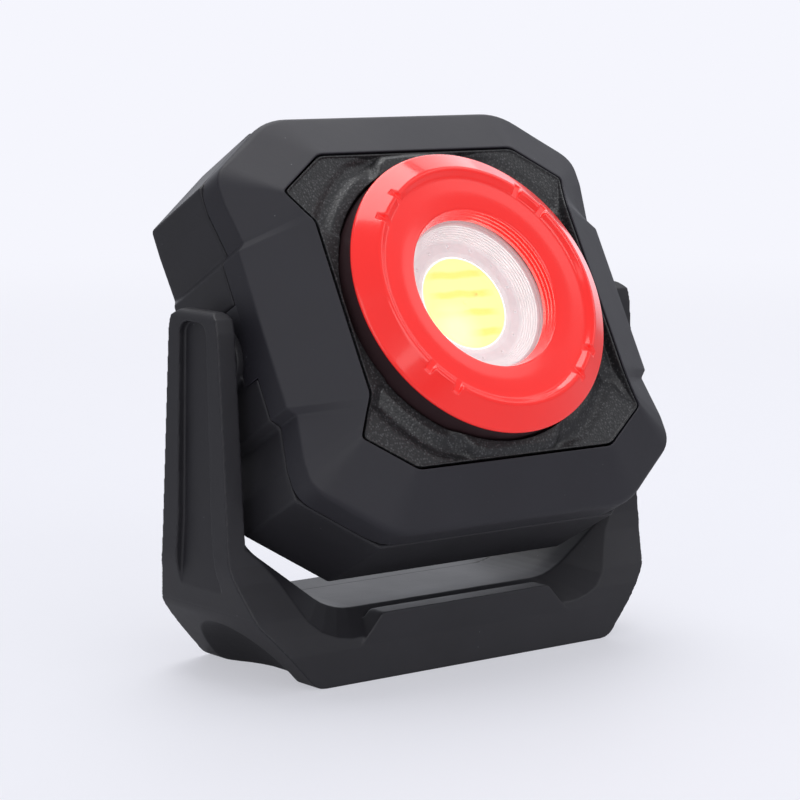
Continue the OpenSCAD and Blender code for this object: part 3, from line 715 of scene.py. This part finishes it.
def build_light():
    """Phosphor disc: a low dome of soft gel inside a thin dam."""
    rim = LED_R
    gel = rim - 0.8
    back, side, top = BOARD_F + 0.02, BOARD_F + 0.42, BOARD_F + 0.5
    profile = [(0.001, back), (rim, back), (rim, side), (rim - 0.15, top), (rim - 0.6, top), (gel, side)]
    steps = 12
    for i in range(1, steps + 1):
        r = gel * (1 - i / steps)
        profile.append((max(r, 0.001), BOARD_F + 0.42 + 0.06 * math.sin(math.pi / 2 * i / steps)))
    disc = revolve("light_disc", profile, 160, "head")
    weighted(disc)
    paint(disc, "led_yellow")
    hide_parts("led_disc")


def build_lens():
    """Flat clear disc."""
    low, high, rim = LENS_F - LENS_T + 0.02, LENS_F - 0.02, LENS_R - 0.05
    points = [(0.001, low), (rim, low), (rim, high), (0.001, high)]
    lens = revolve("lens_disc", spun(points, [0.0, 0.3, 0.3, 0.0], 3.0, 3), 128, "head")
    weighted(lens)
    paint(lens, "clear_lens")
    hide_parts("clear_lens")


build_ring()
build_collar()
build_reflector()
build_light()
build_lens()


# ---- Moulded shells ----

def soft_copy(node, name, slot_name, voxel_mm, passes):
    """A copy of a CAD node as one even mesh with all its edges softened."""
    obj = bpy.data.objects.new(name, frame["nodes"][node].data.copy())
    bpy.context.scene.collection.objects.link(obj)
    r = obj.modifiers.new("remesh", "REMESH")
    r.mode = "VOXEL"
    r.voxel_size = voxel_mm * MM * 1.0
    r.use_smooth_shade = True
    sm = obj.modifiers.new("soft", "SMOOTH")
    sm.factor = 0.5
    sm.iterations = passes
    bake(obj)
    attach(obj, frame["nodes"][node]["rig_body"])
    paint(obj, slot_name)
    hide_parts(node)


soft_copy("stand_frame", "moulded_stand", "moulded_black", 0.25, 4)
soft_copy("rear_housing", "rear_shell", "moulded_black", 0.34, 10)
soft_copy("power_button", "rear_button", "button_red", 0.16, 5)
soft_copy("port_cover", "port_flap", "flap_rubber", 0.16, 5)


# ---- Stage ----

BACKDROP = (0.915, 0.92, 0.985)
# The floor starts to fade to the backdrop at FADE_FROM metres and has gone at FADE_TO
FADE_FROM, FADE_TO, FADE_LEAST = 0.15, 1.1, 0.5
# How much of the floor's own light falls on the object
FLOOR_CAST = 0.3


def build_floor():
    """Pale paper floor that fades into the backdrop's tone with distance."""
    mesh = bpy.data.meshes.new("floor")
    half, cells = 6.0, 24
    pts = [(half * (2 * i / cells - 1), half * (2 * j / cells - 1), 0) for j in range(cells + 1)
           for i in range(cells + 1)]
    row = cells + 1
    mesh.from_pydata(pts, [], [(j * row + i, j * row + i + 1, (j + 1) * row + i + 1, (j + 1) * row + i)
                               for j in range(cells) for i in range(cells)])
    obj = bpy.data.objects.new("floor", mesh)
    bpy.context.scene.collection.objects.link(obj)
    n = Nodes("floor_paper")
    n.set(Base_Color=n.mix(n.noise(60, 3), (0.80, 0.80, 0.845), (0.815, 0.815, 0.86)), Roughness=0.6,
          Normal=n.bump(n.noise(0.6, 3), 0.05, 0.05))
    length = n.new("ShaderNodeVectorMath", operation="LENGTH")
    n.link(n.place, length.inputs[0])
    far = n.new("ShaderNodeMapRange", interpolation_type="SMOOTHSTEP")
    n.link(length.outputs["Value"], far.inputs["Value"])
    far.inputs["From Min"].default_value = FADE_FROM
    far.inputs["From Max"].default_value = FADE_TO
    far.inputs["To Min"].default_value = FADE_LEAST
    glow = n.new("ShaderNodeEmission")
    glow.inputs["Color"].default_value = (*BACKDROP, 1)
    ray = n.new("ShaderNodeLightPath").outputs["Is Camera Ray"]
    n.link(n.maths("ADD", n.maths("MULTIPLY", ray, 1 - FLOOR_CAST), FLOOR_CAST), glow.inputs["Strength"])
    both = n.new("ShaderNodeMixShader")
    n.link(far.outputs["Result"], both.inputs[0])
    n.link(n.bsdf.outputs[0], both.inputs[1])
    n.link(glow.outputs[0], both.inputs[2])
    n.link(both.outputs[0], n.tree.nodes["Material Output"].inputs["Surface"])
    mesh.materials.append(n.mat)


def build_world():
    """Plain backdrop for the camera; for the rest a dimmer studio with a bright wall at the back right."""
    world = bpy.data.worlds.new("studio")
    bpy.context.scene.world = world
    world.use_nodes = True
    tree = world.node_tree
    seen = tree.nodes["Background"]
    seen.inputs["Color"].default_value = (*BACKDROP, 1)
    dim = tree.nodes.new("ShaderNodeBackground")
    dim.inputs["Color"].default_value = (0.9, 0.92, 1.0, 1)
    ray = tree.nodes.new("ShaderNodeLightPath")
    both = tree.nodes.new("ShaderNodeMixShader")
    place = tree.nodes.new("ShaderNodeTexCoord")
    towards = tree.nodes.new("ShaderNodeVectorMath")
    towards.operation = "DOT_PRODUCT"
    towards.inputs[1].default_value = Vector((0.61, 0.78, 0.14)).normalized()
    tree.links.new(place.outputs["Generated"], towards.inputs[0])
    wall = tree.nodes.new("ShaderNodeMapRange")
    wall.interpolation_type = "SMOOTHSTEP"
    for key, value in (("From Min", 0.75), ("From Max", 0.95), ("To Min", 0.42), ("To Max", 1.3)):
        wall.inputs[key].default_value = value
    tree.links.new(towards.outputs["Value"], wall.inputs["Value"])
    tree.links.new(wall.outputs["Result"], dim.inputs["Strength"])
    tree.links.new(ray.outputs["Is Camera Ray"], both.inputs[0])
    tree.links.new(dim.outputs[0], both.inputs[1])
    tree.links.new(seen.outputs[0], both.inputs[2])
    tree.links.new(both.outputs[0], tree.nodes["World Output"].inputs["Surface"])


def softbox(name, direction, distance, size_x, size_y, radiance):
    """A soft light of even brightness that stands in the given direction from the middle of the object."""
    aim = Vector((0, 0, 0.08))
    where = aim + Vector(direction).normalized() * distance
    light = bpy.data.lights.new(name, "AREA")
    light.shape = "RECTANGLE"
    light.size, light.size_y = size_x, size_y
    light.energy = radiance * math.pi * size_x * size_y
    obj = bpy.data.objects.new(name, light)
    obj.location = where
    obj.rotation_euler = (aim - where).to_track_quat("-Z", "Y").to_euler()
    bpy.context.scene.collection.objects.link(obj)


build_floor()
build_world()
softbox("top_box", (0.1, 0.3, 1.0), 1.0, 0.62, 0.95, 3.0)
softbox("back_box", (0.62, 0.42, 0.66), 1.1, 0.4, 0.5, 1.1)
softbox("right_box", (0.753, -0.27, 0.6), 1.0, 0.5, 0.6, 0.95)
softbox("left_box", (-0.9, -0.55, 0.35), 1.1, 0.5, 0.8, 1.05)
softbox("front_box", (-0.1, -1.0, 0.45), 1.3, 1.0, 0.8, 1.7)

EYE = Vector((-0.3929, -0.4991, 0.1462))
LOOK_AT = Vector((-0.0117, -0.0113, 0.0607))

cam = bpy.data.objects.new("camera", bpy.data.cameras.new("camera"))
cam.data.lens = 123.9
cam.data.sensor_width = 36.0
cam.data.clip_start = 0.01
cam.location = EYE
cam.rotation_euler = (LOOK_AT - EYE).to_track_quat("-Z", "Y").to_euler()
bpy.context.scene.collection.objects.link(cam)
bpy.context.scene.camera = cam

view = bpy.context.scene.view_settings
view.view_transform = "Standard"
view.look = "None"
